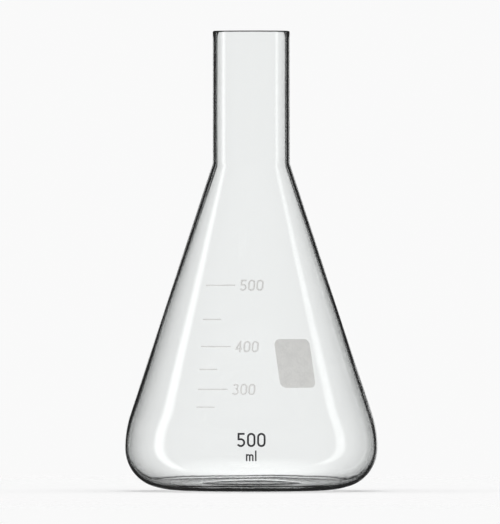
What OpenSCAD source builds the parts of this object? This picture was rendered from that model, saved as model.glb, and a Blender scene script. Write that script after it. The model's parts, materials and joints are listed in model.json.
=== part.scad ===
// Erlenmeyer flask for 500 ml: one piece of blown borosilicate glass with fired enamel prints.
// The origin is the centre of the base ring, on the table, and the front faces -Y.

/* [Overall] */
// Overall height, table to lip
total_h = 190.5; // [188:0.5:198]
// Widest outside diameter of the body
body_d = 105; // [103:0.5:110]
// Height of the widest ring above the table
widest_z = 18.1; // [18:0.1:19.2]

/* [Body curves] */
// Outside radius of the heel, which rises from the base ring
heel_r = 36.4; // [34:0.1:39]
// Outside radius of the tighter curve between the heel and the widest ring
knuckle_r = 17.1; // [16.4:0.1:17.6]
// Outside radius of the shoulder, which leans in above the widest ring
shoulder_r = 42.9; // [34:0.1:46]

/* [Neck] */
// Outside diameter of the neck
neck_d = 32; // [28:0.1:34]
// Height from the corner between cone and neck up to the lip
neck_h = 55; // [48:0.5:60]
// Outside radius of the hollow curve in that corner
neck_curve_r = 4; // [2:0.5:10]

/* [Glass] */
// Wall thickness, the same all over
wall_t = 1.3; // [1:0.1:2]
// Radius of the hollow pushed up under the base
punt_r = 22; // [15:1:23]
// Height of that hollow at its centre
punt_h = 1.6; // [0.8:0.1:2.4]

/* [Enamel prints] */
// Thickness of the fired enamel
print_t = 0.1; // [0.06:0.01:0.2]
// Highest graduation, the flask's capacity in ml
capacity = 500; // [500]
// Lowest graduation in ml
first_mark = 250; // [250, 300, 350, 400]
// Volume between graduations in ml
mark_step = 50; // [50, 100]
// Volume between numbered graduations in ml
number_step = 100; // [100]
// Turn of the graduated scale round the flask, from the front towards +X
scale_turn = -13; // [-180:1:180]
// Width of a graduation line
line_w = 0.5; // [0.3:0.05:0.8]
// Length of a numbered graduation line
long_line = 13; // [8:0.5:16]
// Length of a graduation line with no number
short_line = 8; // [4:0.5:8]
// Height of the numerals on the scale
numeral_h = 4.6; // [3:0.1:5]
// Height of the centre of the capacity mark above the table
mark_z = 18.7; // [16:0.1:26]
// Height of the numerals in the capacity mark
mark_h = 5.8; // [4:0.1:6]
// Width of the patch to write on
spot_w = 16; // [12:1:24]
// Height of that patch
spot_h = 20; // [14:1:30]
// Height of the patch's centre above the table
spot_z = 53; // [46:1:70]
// Turn of the patch round the flask, from the front towards +X
spot_turn = 25; // [-180:1:180]

/* [Hidden] */
$fn = 180;

body_r = body_d / 2;
neck_r = neck_d / 2;

// Each curve of the outline is an arc that is tangent to its neighbours
knuckle_c = [body_r - knuckle_r, widest_z];
shoulder_c = [body_r - shoulder_r, widest_z];
heel_c = [knuckle_c.x - sqrt((heel_r - knuckle_r) ^ 2 - (heel_r - widest_z) ^ 2), heel_r];
knuckle_a = atan2(knuckle_c.y - heel_c.y, knuckle_c.x - heel_c.x);

// The cone is the line from the corner under the neck that is tangent to the shoulder
to_corner = [neck_r, total_h - neck_h] - shoulder_c;
cone_a = atan2(to_corner.y, to_corner.x) - acos(shoulder_r / norm(to_corner));
cone_out = [cos(cone_a), sin(cone_a)];

// The hollow curve between cone and neck has its centre outside the glass
neck_curve_x = neck_r + neck_curve_r;
neck_curve_c = [
    neck_curve_x,
    (cone_out * shoulder_c + shoulder_r + neck_curve_r - cone_out.x * neck_curve_x) / cone_out.y
];

// Fire polishing rounds the lip over the whole wall
lip_r = wall_t / 2;
lip_z = total_h - lip_r;
punt_sphere_r = (punt_r ^ 2 + punt_h ^ 2) / (2 * punt_h);

function on_arc(centre, r, angle) = centre + r * [cos(angle), sin(angle)];

// Radius of the cavity at a height
cavity_knuckle_z = on_arc(heel_c, heel_r - wall_t, knuckle_a).y;
cavity_cone = on_arc(shoulder_c, shoulder_r - wall_t, cone_a);
function arc_x(centre, r, z) = centre.x + sqrt(r ^ 2 - (z - centre.y) ^ 2);
function cavity_x(z) =
    z < cavity_knuckle_z ? arc_x(heel_c, heel_r - wall_t, z) :
    z < widest_z ? arc_x(knuckle_c, knuckle_r - wall_t, z) :
    z < cavity_cone.y ? arc_x(shoulder_c, shoulder_r - wall_t, z) :
    max(neck_r - wall_t, cavity_cone.x - (z - cavity_cone.y) * tan(cone_a));

// Millilitres held below a height, summed over thin discs, less the hollow pushed up into the cavity
slices = 120;
mm3_per_ml = 1000;
punt_volume = PI * punt_h * (3 * punt_r ^ 2 + punt_h ^ 2) / 6;
function total(list, i = 0) = i == len(list) ? 0 : list[i] + total(list, i + 1);
function held(z) =
    let (
        step = (z - wall_t) / slices,
        discs = [for (i = [0.5 : slices]) PI * cavity_x(wall_t + i * step) ^ 2 * step]
    )
    (total(discs) - punt_volume) / mm3_per_ml;

// Height of the liquid that measures a volume, found by halving the interval that holds it
function level(volume, low = wall_t, high = total_h, halvings = 18) =
    let (mid = (low + high) / 2)
    halvings == 0 ? mid :
    held(mid) < volume ? level(volume, mid, high, halvings - 1) : level(volume, low, mid, halvings - 1);

// Slice of a disc between two angles less than 120 degrees apart
module pie(centre, r, from, to) {
    reach = 3 * r;
    translate(centre)
        intersection() {
            circle(r);
            polygon([[0, 0], on_arc([0, 0], reach, from), on_arc([0, 0], reach, to)]);
        }
}

// Half section of everything inside the outer surface, or inside a surface inset from it
module outline(inset, top = lip_z) {
    difference() {
        union() {
            polygon([
                [0, inset],
                [heel_c.x, inset],
                on_arc(heel_c, heel_r - inset, knuckle_a),
                [body_r - inset, widest_z],
                on_arc(shoulder_c, shoulder_r - inset, cone_a),
                neck_curve_c - (neck_curve_r + inset) * cone_out,
                [neck_r - inset, neck_curve_c.y],
                [neck_r - inset, top],
                [0, top]
            ]);
            pie(heel_c, heel_r - inset, -90, knuckle_a);
            pie(knuckle_c, knuckle_r - inset, knuckle_a, 0);
            pie(shoulder_c, shoulder_r - inset, 0, cone_a);
        }
        translate(neck_curve_c) circle(neck_curve_r + inset);
    }
}

// Disc whose top is the hollow under the base, or the floor above it
module punt(grow) {
    translate([0, punt_h - punt_sphere_r]) circle(punt_sphere_r + grow);
}

module vessel() {
    color([0.84, 0.92, 0.93, 0.35])
        rotate_extrude() {
            difference() {
                outline(0);
                punt(0);
                difference() {
                    outline(wall_t, total_h);
                    punt(wall_t);
                }
            }
            translate([neck_r - lip_r, lip_z]) circle(lip_r);
        }
}

// Skin of enamel over the glass, of which a print keeps only its own shape
module enamel_skin() {
    rotate_extrude()
        difference() {
            outline(-print_t);
            outline(0);
        }
}

// Lays a flat drawing, x along the wall and y up, on the glass at a turn round the flask
module printed(turn) {
    rotate(turn)
        intersection() {
            enamel_skin();
            rotate([90, 0, 0])
                linear_extrude(body_r + wall_t)
                    children();
        }
}

// Glyphs are drawn from strokes of one width, in a cell that is 10 units high and scaled when it is placed.
// The prints need only the digits 0, 3, 4 and 5 and the letters of the unit.
cell_h = 10;
cell_w = 6;
stroke = 1.4;
half_stroke = stroke / 2;
pitch = 7.2;
// Keeps a slim straight stretch between the rounded ends of the zero
zero_flat = 0.02;

module bar(from, to) {
    run = to - from;
    translate(from)
        rotate(atan2(run.y, run.x))
            translate([-half_stroke, -half_stroke])
                square([norm(run) + stroke, stroke]);
}

// Part of a ring of one stroke's width, made in two halves so that it can turn past 120 degrees
module bow(centre, r, from, to) {
    middle = (from + to) / 2;
    difference() {
        union() {
            pie(centre, r + half_stroke, from, middle);
            pie(centre, r + half_stroke, middle, to);
        }
        translate(centre) circle(r - half_stroke);
    }
}

module rounded(w, h, r) {
    translate([r, 0]) square([w - 2 * r, h]);
    translate([0, r]) square([w, h - 2 * r]);
    for (x = [r, w - r], y = [r, h - r])
        translate([x, y]) circle(r);
}

module glyph_0() {
    outer_r = (cell_w - zero_flat) / 2;
    difference() {
        rounded(cell_w, cell_h, outer_r);
        translate([stroke, stroke])
            rounded(cell_w - 2 * stroke, cell_h - 2 * stroke, outer_r - stroke);
    }
}

module glyph_3() {
    bow([2.8, 7.35], 1.95, -90, 150);
    bow([2.8, 2.95], 2.25, -150, 90);
}

module glyph_4() {
    stem_x = 4.3;
    arm_y = 3;
    bar([stem_x, half_stroke], [stem_x, cell_h - half_stroke]);
    bar([3.9, 9], [0.9, arm_y]);
    bar([half_stroke, arm_y], [cell_w - half_stroke, arm_y]);
}

module glyph_5() {
    bowl_c = [2.8, 3.1];
    bowl_r = 2.4;
    bowl_top = bowl_c.y + bowl_r;
    back_x = 1.2;
    top = cell_h - half_stroke;
    bow(bowl_c, bowl_r, -150, 90);
    bar([back_x, bowl_top], [bowl_c.x, bowl_top]);
    bar([back_x, bowl_top], [back_x, top]);
    bar([back_x, top], [4.8, top]);
}

module glyph_m() {
    foot = half_stroke;
    spring = 4.4;
    arch_r = 1.45;
    for (x = [foot, foot + 2 * arch_r, foot + 4 * arch_r])
        bar([x, foot], [x, spring]);
    bar([foot, foot], [foot, spring + arch_r]);
    for (x = [foot + arch_r, foot + 3 * arch_r])
        bow([x, spring], arch_r, 0, 180);
}

module glyph_l() {
    bar([half_stroke, half_stroke], [half_stroke, cell_h - half_stroke]);
}

module glyph(digit) {
    if (digit == "0") glyph_0();
    if (digit == "3") glyph_3();
    if (digit == "4") glyph_4();
    if (digit == "5") glyph_5();
}

module number(digits, height) {
    scale(height / cell_h)
        for (i = [0 : len(digits) - 1])
            translate([i * pitch, 0])
                glyph(digits[i]);
}

function number_w(digits, height) = ((len(digits) - 1) * pitch + cell_w) * height / cell_h;

// The capacity over its unit, both centred
unit_share = 0.75;
gap_share = 0.25;
// Start of the l after the m, in cell units
l_x = 8.6;

module capacity_mark() {
    digits = str(capacity);
    unit_h = unit_share * mark_h;
    gap = gap_share * mark_h;
    unit_scale = unit_h / cell_h;
    unit_w = (l_x + stroke) * unit_scale;
    foot = mark_z - (mark_h + gap + unit_h) / 2;
    color([0.2, 0.2, 0.21])
        printed(0) {
            translate([-number_w(digits, mark_h) / 2, foot + unit_h + gap])
                number(digits, mark_h);
            translate([-unit_w / 2, foot])
                scale(unit_scale) {
                    glyph_m();
                    translate([l_x, 0]) glyph_l();
                }
        }
}

// The scale's lines start at its left edge, and the numbers follow the long ones
number_gap = 2;
scale_w = long_line + number_gap + number_w(str(capacity), numeral_h);
function numbered(volume) = volume % number_step == 0;

module graduation_lines() {
    color([0.96, 0.96, 0.94])
        printed(scale_turn)
            for (volume = [first_mark : mark_step : capacity])
                translate([-scale_w / 2, level(volume) - line_w / 2])
                    square([numbered(volume) ? long_line : short_line, line_w]);
}

module graduation_numerals() {
    color([0.96, 0.96, 0.94])
        printed(scale_turn)
            for (volume = [first_mark : mark_step : capacity])
                if (numbered(volume))
                    translate([scale_w / 2 - number_w(str(volume), numeral_h), level(volume) - numeral_h / 2])
                        number(str(volume), numeral_h);
}

spot_corner_r = 2.5;

module marking_spot() {
    color([0.94, 0.94, 0.92])
        printed(spot_turn)
            translate([-spot_w / 2, spot_z - spot_h / 2])
                rounded(spot_w, spot_h, spot_corner_r);
}

vessel();
capacity_mark();
graduation_lines();
graduation_numerals();
marking_spot();
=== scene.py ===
"""Looks of the erlenmeyer flask: lathe-built glass, fired enamel prints and bright-field light."""
import json
import math

import bpy
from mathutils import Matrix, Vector, noise

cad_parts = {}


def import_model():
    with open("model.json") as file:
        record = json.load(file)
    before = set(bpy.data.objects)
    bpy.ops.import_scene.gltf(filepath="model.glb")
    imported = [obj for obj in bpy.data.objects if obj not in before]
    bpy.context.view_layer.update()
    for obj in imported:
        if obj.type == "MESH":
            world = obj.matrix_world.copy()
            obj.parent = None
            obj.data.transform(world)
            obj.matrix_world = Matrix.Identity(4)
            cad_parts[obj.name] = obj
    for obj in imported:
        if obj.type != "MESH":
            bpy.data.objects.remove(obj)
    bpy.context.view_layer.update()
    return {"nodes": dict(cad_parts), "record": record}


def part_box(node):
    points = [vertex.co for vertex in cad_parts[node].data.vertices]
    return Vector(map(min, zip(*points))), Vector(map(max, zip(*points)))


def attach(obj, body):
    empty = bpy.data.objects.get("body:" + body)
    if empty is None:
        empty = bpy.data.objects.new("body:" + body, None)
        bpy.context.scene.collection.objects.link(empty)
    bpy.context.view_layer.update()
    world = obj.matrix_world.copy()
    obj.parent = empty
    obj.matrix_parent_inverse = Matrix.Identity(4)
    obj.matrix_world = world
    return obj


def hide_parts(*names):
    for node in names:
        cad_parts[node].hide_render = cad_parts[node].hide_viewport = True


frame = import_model()

MM = 0.001

# ---- the frame's own sizes and colours ----
mounts = {mount["name"]: mount for mount in frame["record"]["mounts"]}
colours = {entry["slot"]: entry["base_color"] for entry in frame["record"]["materials"]}
vessel_low, vessel_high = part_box("vessel")
BODY_R = (vessel_high.x - vessel_low.x) / 2
TOP_Z = vessel_high.z
NECK_R = mounts["neck"]["dims"]["r_mm"] * MM
WALL = NECK_R - mounts["mouth"]["dims"]["r_mm"] * MM
NECK_FOOT_Z = mounts["neck"]["pos_m"][2] - mounts["neck"]["dims"]["length_mm"] * MM / 2

# ---- curves of the outer wall, as the CAD outline has them ----
WIDEST_Z = 18.1 * MM
HEEL_R = 36.4 * MM
KNUCKLE_R = 17.1 * MM
SHOULDER_R = 42.9 * MM
NECK_CURVE_R = 4 * MM
PUNT_R = 22 * MM
PUNT_H = 1.6 * MM

# ---- mesh ----
TURNS = 384
STEP = 3.2 * MM
ARC_STEP = math.radians(2.5)
LIP_STEP = math.radians(9)
PUNT_STEPS = 12

# ---- glass ----
GLASS_TINT = (0.985, 0.995, 0.992, 1)
GLASS_IOR = 1.473
# How far the inner wall waves, and the height under the lip over which that calms down
WAVE = 0.05 * MM
WAVES_PER_M = 55
WAVE_STRETCH = 0.6
CALM_H = 25 * MM
# Cords: streaks drawn out along the axis
CORD_DEPTH = 0.01 * MM
CORDS_PER_M = 160
CORD_STRETCH = 0.12
# Wear on the ring that touches the bench: a haze, and rougher arcs that run round it
WEAR_H = 0.08 * MM
ARCS_PER_M = 3000
ARC_BREAKS = 2.5
ARC_FADE = (0.42, 0.62)
WORN_ROUGHNESS = (0.12, 0.4)
# Share of the light that passes the glass into its shadow, face on and at its edges
VEIL = (0.95, 0.4)
VEIL_FROM = 0.4

# ---- enamel ----
GRAINS_PER_M = 1800
CLOUDS_PER_M = 260
GRAIN_SHARE = 0.6
MOTTLE_FADE = (0.35, 0.65)
SHEEN_SPREAD = 0.08
TOOTH_DEPTH = 0.02 * MM
TOOTH_STRENGTH = 0.4

# ---- stage ----
FLOOR_R = 700 * MM
FLOOR_CORNERS = 64
FLOOR_FADE = (120 * MM, 650 * MM)
FLOOR_SHADE = 0.9
FLOOR_GAP = WALL / 20

# ---- light: strengths, and the angles in degrees over which each light fades ----
# Bright field behind the flask, lower than it is wide, with dark flags round it
FIELD = 0.95
FIELD_FADE = (13.5, 16)
FIELD_SQUASH = 2.1
FLAGS = 0.02
# Weak light from the camera's side
FRONT = 0.26
FRONT_FADE = (40, 95)
# Tall strip at the left
STRIP = 2.2
STRIP_TURN = 86
STRIP_SIDES = (3, 9)
STRIP_ENDS = (35, 60)
# Dome overhead
DOME = 2.13
DOME_FADE = (60, 15)
# Enough bounces for light to cross four walls of glass
BOUNCES = 24

# ---- camera ----
SENSOR = 24
DISTANCE = 8
SHARE_OF_PICTURE = 0.878
AIM_X = -0.5 * MM
AIM_Z = 94.8 * MM


def polar(centre, r, angle):
    return centre[0] + r * math.cos(angle), centre[1] + r * math.sin(angle)


def arc(centre, r, start, end, step=ARC_STEP):
    """Points along an arc, both ends included."""
    count = max(2, math.ceil(abs(end - start) / step))
    return [polar(centre, r, start + (end - start) * i / count) for i in range(count + 1)]


def straight(start, end):
    """Points strictly between two points, about one STEP apart."""
    count = max(1, round(math.dist(start, end) / STEP))
    return [tuple(a + (b - a) * i / count for a, b in zip(start, end)) for i in range(1, count)]


# Each curve of the outline is an arc that is tangent to its neighbours
knuckle_c = (BODY_R - KNUCKLE_R, WIDEST_Z)
shoulder_c = (BODY_R - SHOULDER_R, WIDEST_Z)
heel_c = (knuckle_c[0] - math.sqrt((HEEL_R - KNUCKLE_R) ** 2 - (HEEL_R - WIDEST_Z) ** 2), HEEL_R)
knuckle_a = math.atan2(knuckle_c[1] - heel_c[1], knuckle_c[0] - heel_c[0])
neck_curve_c = (NECK_R + NECK_CURVE_R, NECK_FOOT_Z)
across = (neck_curve_c[0] - shoulder_c[0], neck_curve_c[1] - shoulder_c[1])
cone_a = math.atan2(across[1], across[0]) - math.acos((SHOULDER_R + NECK_CURVE_R) / math.hypot(*across))
punt_sphere_r = (PUNT_R ** 2 + PUNT_H ** 2) / (2 * PUNT_H)
punt_c = (0, PUNT_H - punt_sphere_r)


def side(inset):
    """Outline from the edge of the floor up to the top of the neck, at a depth inside the outer surface."""
    shoulder_end = polar(shoulder_c, SHOULDER_R - inset, cone_a)
    neck_curve = arc(neck_curve_c, NECK_CURVE_R + inset, cone_a + math.pi, math.pi)
    neck_top = (NECK_R - inset, TOP_Z - WALL / 2)
    return (
        arc(heel_c, HEEL_R - inset, -math.pi / 2, knuckle_a)
        + arc(knuckle_c, KNUCKLE_R - inset, knuckle_a, 0)[1:]
        + arc(shoulder_c, SHOULDER_R - inset, 0, cone_a)[1:]
        + straight(shoulder_end, neck_curve[0])
        + neck_curve
        + straight(neck_curve[-1], neck_top)
        + [neck_top]
    )


def floor_of(inset):
    """Outline of the pushed-up floor from the axis out to the ring."""
    r = punt_sphere_r + inset
    ring_x = math.sqrt(r ** 2 - (punt_c[1] - inset) ** 2)
    edge_a = math.acos(ring_x / r)
    return arc(punt_c, r, math.pi / 2, edge_a, (math.pi / 2 - edge_a) / PUNT_STEPS)


def profile():
    """The outer, lip and inner points in order, from the axis under the base round to the axis inside."""
    lip_c = (NECK_R - WALL / 2, TOP_Z - WALL / 2)
    outer = floor_of(0) + straight(floor_of(0)[-1], (heel_c[0], 0)) + side(0)
    lip = arc(lip_c, WALL / 2, 0, math.pi, LIP_STEP)[1:-1]
    inner = floor_of(WALL) + straight(floor_of(WALL)[-1], (heel_c[0], WALL)) + side(WALL)
    return outer, lip, inner[::-1]


def wave(x, y, z):
    """How far the inner wall stands out of true at a point. It is still at the fire-polished lip."""
    calm = min(1, (TOP_Z - z) / CALM_H)
    return WAVE * calm * noise.noise(Vector((x, y, z * WAVE_STRETCH)) * WAVES_PER_M)


def lathe(name, outer, lip, inner):
    """Closed glass of revolution. The inner wall waves slightly, as blown glass does."""
    rings = outer[1:] + lip + inner[:-1]
    first_inner = len(outer) - 1 + len(lip)
    around = [(math.cos(2 * math.pi * k / TURNS), math.sin(2 * math.pi * k / TURNS)) for k in range(TURNS)]
    verts = [(0, 0, outer[0][1])]
    for i, (r, z) in enumerate(rings):
        for x, y in around:
            reach = r + wave(r * x, r * y, z) if i >= first_inner else r
            verts.append((reach * x, reach * y, z))
    verts.append((0, 0, inner[-1][1]))
    last = len(verts) - 1
    last_ring = last - TURNS
    faces = []
    for k in range(TURNS):
        n = (k + 1) % TURNS
        faces.append((0, 1 + n, 1 + k))
        for low in range(1, last_ring, TURNS):
            high = low + TURNS
            faces.append((low + k, low + n, high + n, high + k))
        faces.append((last_ring + k, last_ring + n, last))
    mesh = bpy.data.meshes.new(name)
    mesh.from_pydata(verts, [], faces)
    mesh.shade_smooth()
    obj = bpy.data.objects.new(name, mesh)
    bpy.context.scene.collection.objects.link(obj)
    return obj


class Nodes:
    """Short calls for building a node tree."""

    def __init__(self, tree):
        self.tree = tree
        tree.nodes.clear()

    def add(self, kind, inputs=(), **settings):
        node = self.tree.nodes.new(kind)
        for key, value in settings.items():
            setattr(node, key, value)
        for key, value in dict(inputs).items():
            self.put(node.inputs[key], value)
        return node

    def put(self, socket, value):
        if isinstance(value, bpy.types.NodeSocket):
            self.tree.links.new(value, socket)
        else:
            socket.default_value = value

    def math(self, operation, a, b=0.0):
        return self.add("ShaderNodeMath", {0: a, 1: b}, operation=operation).outputs[0]

    def vector(self, operation, a, b=(0, 0, 0)):
        node = self.add("ShaderNodeVectorMath", {0: a, 1: b}, operation=operation)
        return node.outputs["Value" if operation == "LENGTH" else "Vector"]

    def parts(self, vector):
        """The x, y and z of a vector."""
        return self.add("ShaderNodeSeparateXYZ", {0: vector}).outputs

    def noise(self, vector, scale, detail=3.0):
        """Noise about 0.5, with a scale in waves per metre."""
        node = self.add("ShaderNodeTexNoise", {"Vector": vector, "Scale": scale, "Detail": detail})
        return node.outputs["Fac"]

    def ramp(self, value, start, end, low=0.0, high=1.0):
        """Soft step from low, at start, to high, at end."""
        node = self.add("ShaderNodeMapRange",
                        {"Value": value, "From Min": start, "From Max": end, "To Min": low, "To Max": high},
                        interpolation_type="SMOOTHSTEP")
        return node.outputs["Result"]

    def off_axis(self, direction):
        """Angle between a direction and +Z."""
        return self.math("ARCCOSINE", self.parts(direction)[2])

    def fade(self, angle, degrees, low, high):
        """Soft step of an angle between two given in degrees."""
        return self.ramp(angle, math.radians(degrees[0]), math.radians(degrees[1]), low, high)


def material(name):
    made = bpy.data.materials.new(name)
    made.use_nodes = True
    return made, Nodes(made.node_tree)


def cords(n, place):
    """Normals of the faint streaks."""
    drawn_out = n.vector("MULTIPLY", place, (1, 1, CORD_STRETCH))
    streaks = n.noise(drawn_out, CORDS_PER_M, 2.0)
    return n.add("ShaderNodeBump", {"Height": streaks, "Strength": 1.0, "Distance": CORD_DEPTH}).outputs[0]


def wear(n, place):
    """Roughness, only on the ring. Noise that changes fast outward and slowly round makes its arcs."""
    x, y, z = n.parts(place)
    flat = n.add("ShaderNodeCombineXYZ", {0: x, 1: y}).outputs[0]
    round_it = n.vector("MULTIPLY", n.vector("NORMALIZE", flat), (ARC_BREAKS, ARC_BREAKS, 0))
    outward = n.add("ShaderNodeCombineXYZ", {2: n.math("MULTIPLY", n.vector("LENGTH", flat), ARCS_PER_M)})
    arcs = n.ramp(n.noise(n.vector("ADD", round_it, outward.outputs[0]), 1), *ARC_FADE, *WORN_ROUGHNESS)
    return n.math("MULTIPLY", n.ramp(z, 0, WEAR_H, 1, 0), arcs)


def glass_material():
    """Clear glass. Light on its way to a surface meets a veil instead, which is darker at the edges."""
    made, n = material("borosilicate_glass")
    place = n.add("ShaderNodeTexCoord").outputs["Object"]
    body = n.add("ShaderNodeBsdfPrincipled", {
        "Base Color": GLASS_TINT, "Roughness": wear(n, place), "IOR": GLASS_IOR, "Transmission Weight": 1.0,
        "Normal": cords(n, place)})
    edge = n.add("ShaderNodeLayerWeight").outputs["Facing"]
    veil = n.add("ShaderNodeBsdfTransparent", {"Color": n.ramp(edge, VEIL_FROM, 1, *VEIL)})
    rays = n.add("ShaderNodeLightPath").outputs
    lighting = n.math("MAXIMUM", rays["Is Shadow Ray"], rays["Is Diffuse Ray"])
    mixed = n.add("ShaderNodeMixShader", {0: lighting, 1: body.outputs[0], 2: veil.outputs[0]})
    n.add("ShaderNodeOutputMaterial", {"Surface": mixed.outputs[0]})
    return made


def enamel_material(slot, spread, roughness):
    """Fired print in its slot's colour: grain and clouds in the shade, an uneven sheen and a fine tooth."""
    made, n = material(slot)
    place = n.add("ShaderNodeTexCoord").outputs["Object"]
    grain = n.noise(place, GRAINS_PER_M)
    clouds = n.noise(place, CLOUDS_PER_M)
    fine = n.math("MULTIPLY", grain, GRAIN_SHARE)
    mottle = n.math("ADD", fine, n.math("MULTIPLY", clouds, 1 - GRAIN_SHARE))
    shade = n.vector("MULTIPLY", colours[slot], n.ramp(mottle, *MOTTLE_FADE, 1 - spread, 1 + spread))
    sheen = n.ramp(mottle, *MOTTLE_FADE, roughness + SHEEN_SPREAD, roughness - SHEEN_SPREAD)
    tooth = n.add("ShaderNodeBump", {"Height": grain, "Strength": TOOTH_STRENGTH, "Distance": TOOTH_DEPTH})
    body = n.add("ShaderNodeBsdfPrincipled", {
        "Base Color": shade, "Roughness": sheen, "Normal": tooth.outputs[0]})
    n.add("ShaderNodeOutputMaterial", {"Surface": body.outputs[0]})
    return made


def dress(node, made):
    """Gives a carried-over CAD node its material."""
    slots = frame["nodes"][node].data.materials
    slots.clear()
    slots.append(made)


def flask():
    """The glass, which stands for the CAD vessel, and the CAD prints in their enamel."""
    glass = lathe("blown_glass", *profile())
    glass.data.materials.append(glass_material())
    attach(glass, "root")
    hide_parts("vessel")
    dress("capacity_mark", enamel_material("dark_enamel", spread=0.15, roughness=0.35))
    white = enamel_material("white_enamel", spread=0.04, roughness=0.35)
    dress("graduation_lines", white)
    dress("graduation_numerals", white)
    dress("marking_spot", enamel_material("matt_enamel", spread=0.05, roughness=0.7))


def floor():
    """Pale disc that fades out into the backdrop.

    Light that the glass bends or mirrors passes it by, so that the base keeps its dark line."""
    mesh = bpy.data.meshes.new("floor")
    rim = [polar((0, 0), FLOOR_R, 2 * math.pi * k / FLOOR_CORNERS) for k in range(FLOOR_CORNERS)]
    mesh.from_pydata([(x, y, 0) for x, y in rim], [], [tuple(range(FLOOR_CORNERS))])
    made, n = material("pale_floor")
    away = n.vector("LENGTH", n.add("ShaderNodeTexCoord").outputs["Object"])
    fading = n.ramp(away, *FLOOR_FADE)
    matt = n.add("ShaderNodeBsdfDiffuse", {"Color": (FLOOR_SHADE, FLOOR_SHADE, FLOOR_SHADE, 1)})
    gone = n.add("ShaderNodeBsdfTransparent")
    mixed = n.add("ShaderNodeMixShader", {0: fading, 1: matt.outputs[0], 2: gone.outputs[0]})
    n.add("ShaderNodeOutputMaterial", {"Surface": mixed.outputs[0]})
    mesh.materials.append(made)
    obj = bpy.data.objects.new("floor", mesh)
    obj.location.z = -FLOOR_GAP
    obj.visible_transmission = False
    obj.visible_glossy = False
    bpy.context.scene.collection.objects.link(obj)


def field(n, seen):
    """Bright field, against which the dark flags draw the edges of the glass."""
    flattened = n.vector("NORMALIZE", n.vector("MULTIPLY", seen, (1, FIELD_SQUASH, 1)))
    return n.fade(n.off_axis(flattened), FIELD_FADE, FIELD, FLAGS)


def front(n, seen):
    """Light that shows the prints."""
    return n.fade(n.off_axis(seen), FRONT_FADE, 0, FRONT)


def strip(n, seen):
    """Light whose mirror image makes the upright highlights."""
    x, y, z = n.parts(seen)
    beside = n.math("ABSOLUTE", n.math("ADD", n.math("ARCTAN2", x, z), math.radians(STRIP_TURN)))
    rise = n.math("ABSOLUTE", n.math("ARCSINE", y))
    return n.math("MULTIPLY", n.fade(beside, STRIP_SIDES, STRIP, 0), n.fade(rise, STRIP_ENDS, 1, 0))


def dome(n, upright):
    """Light on the floor, in which the flask casts its shadow."""
    return n.fade(n.off_axis(upright), DOME_FADE, 0, DOME)


def world():
    """Soft studio light. All but the dome turns with the camera, so every side of the glass is lit alike."""
    made = bpy.data.worlds.new("studio")
    made.use_nodes = True
    n = Nodes(made.node_tree)
    towards = n.add("ShaderNodeTexCoord").outputs
    seen = n.vector("NORMALIZE", towards["Camera"])
    level = field(n, seen)
    for light in (front(n, seen), strip(n, seen), dome(n, towards["Generated"])):
        level = n.math("ADD", level, light)
    studio = n.add("ShaderNodeBackground", {"Color": (1, 1, 1, 1), "Strength": level})
    n.add("ShaderNodeOutputWorld", {"Surface": studio.outputs[0]})
    bpy.context.scene.world = made


def camera():
    """Straight side elevation through a long lens, as the flask is drawn."""
    lens = bpy.data.cameras.new("camera")
    lens.sensor_width = SENSOR
    lens.lens = SENSOR * DISTANCE * SHARE_OF_PICTURE / TOP_Z
    obj = bpy.data.objects.new("camera", lens)
    obj.location = (AIM_X, -DISTANCE, AIM_Z)
    obj.rotation_euler = (math.pi / 2, 0, 0)
    bpy.context.scene.collection.objects.link(obj)
    bpy.context.scene.camera = obj


flask()
floor()
world()
camera()

scene = bpy.context.scene
scene.view_settings.view_transform = "Standard"
for limit in ("max_bounces", "transmission_bounces", "transparent_max_bounces"):
    setattr(scene.cycles, limit, BOUNCES)
scene.cycles.caustics_reflective = False
scene.cycles.caustics_refractive = False
